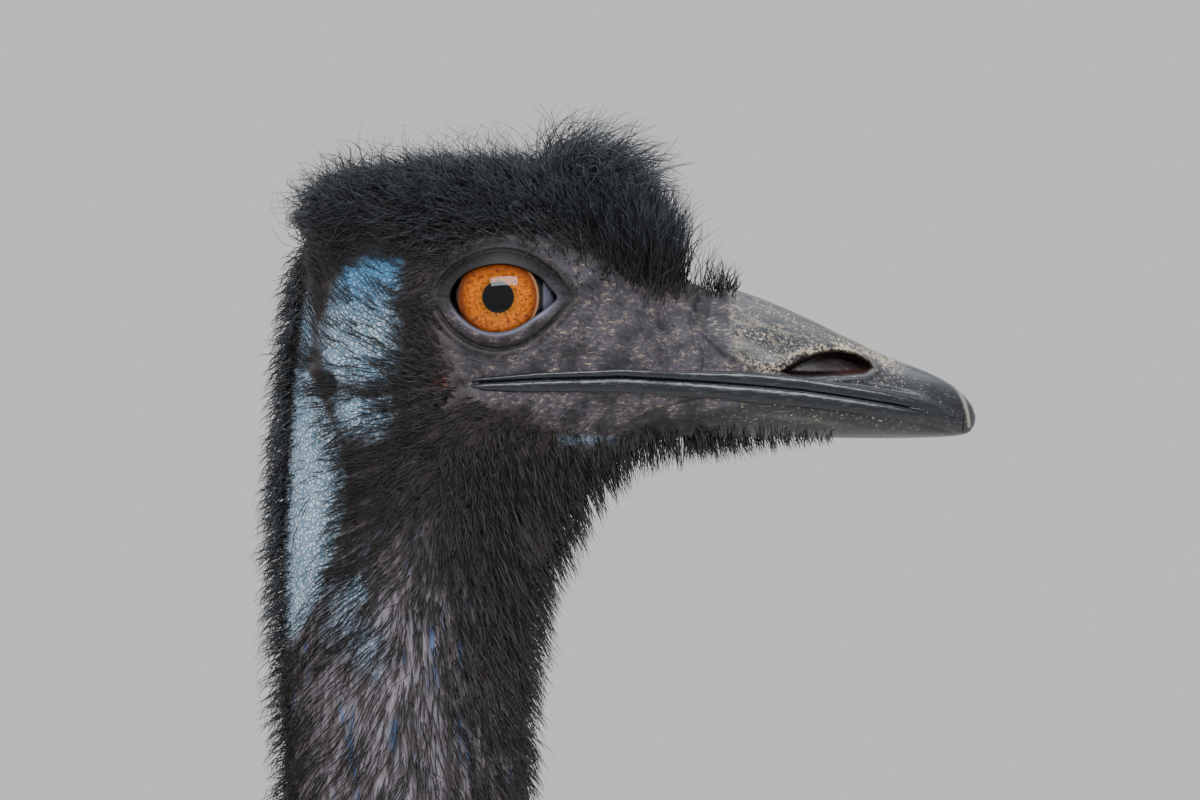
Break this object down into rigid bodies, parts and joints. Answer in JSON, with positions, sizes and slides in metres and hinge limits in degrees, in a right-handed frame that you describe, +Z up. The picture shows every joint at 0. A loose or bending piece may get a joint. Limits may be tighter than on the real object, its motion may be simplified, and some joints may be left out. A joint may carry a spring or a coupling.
{
  "type": "emu",
  "caption": "Standing adult emu, life size: black-haired head with pale-blue bare skin, orange eyes and dark bill, shaggy grey-brown body and bare scaly legs.",
  "frame": {"origin": "middle of the bird's bounding box, on the floor under its feet", "axes": "+X the way it faces, +Y its left side, +Z up"},
  "size_m": [0.8732, 0.435, 1.6442],
  "materials": {
    "skin": "bare blue-grey skin under black hair-like feathers",
    "bill": "dark blue-grey horn with a dull sheen and pale flaking",
    "eye": "wet, glossy, orange iris with a black pupil",
    "neck_coat": "sparse black hair-like feathers over mauve-grey skin",
    "plumage": "long, loose, grey-brown double-shafted feathers with darker tips",
    "scales": "dark brown-grey scales, dull",
    "claw": "blackish worn horn"
  },
  "bodies": {
    "root": {"head": "skin", "bill_upper": "bill", "bill_lower": "bill", "eye_left": "eye", "eye_right": "eye", "neck_upper": "neck_coat", "neck_middle": "neck_coat", "neck_lower": "neck_coat", "torso": "plumage", "tail": "plumage", "thigh_left": "plumage", "shin_left": "scales", "foot_left": "scales", "claw_inner_left": "claw", "claw_middle_left": "claw", "claw_outer_left": "claw", "thigh_right": "plumage", "shin_right": "scales", "foot_right": "scales", "claw_inner_right": "claw", "claw_middle_right": "claw", "claw_outer_right": "claw"}
  },
  "joints": []
}
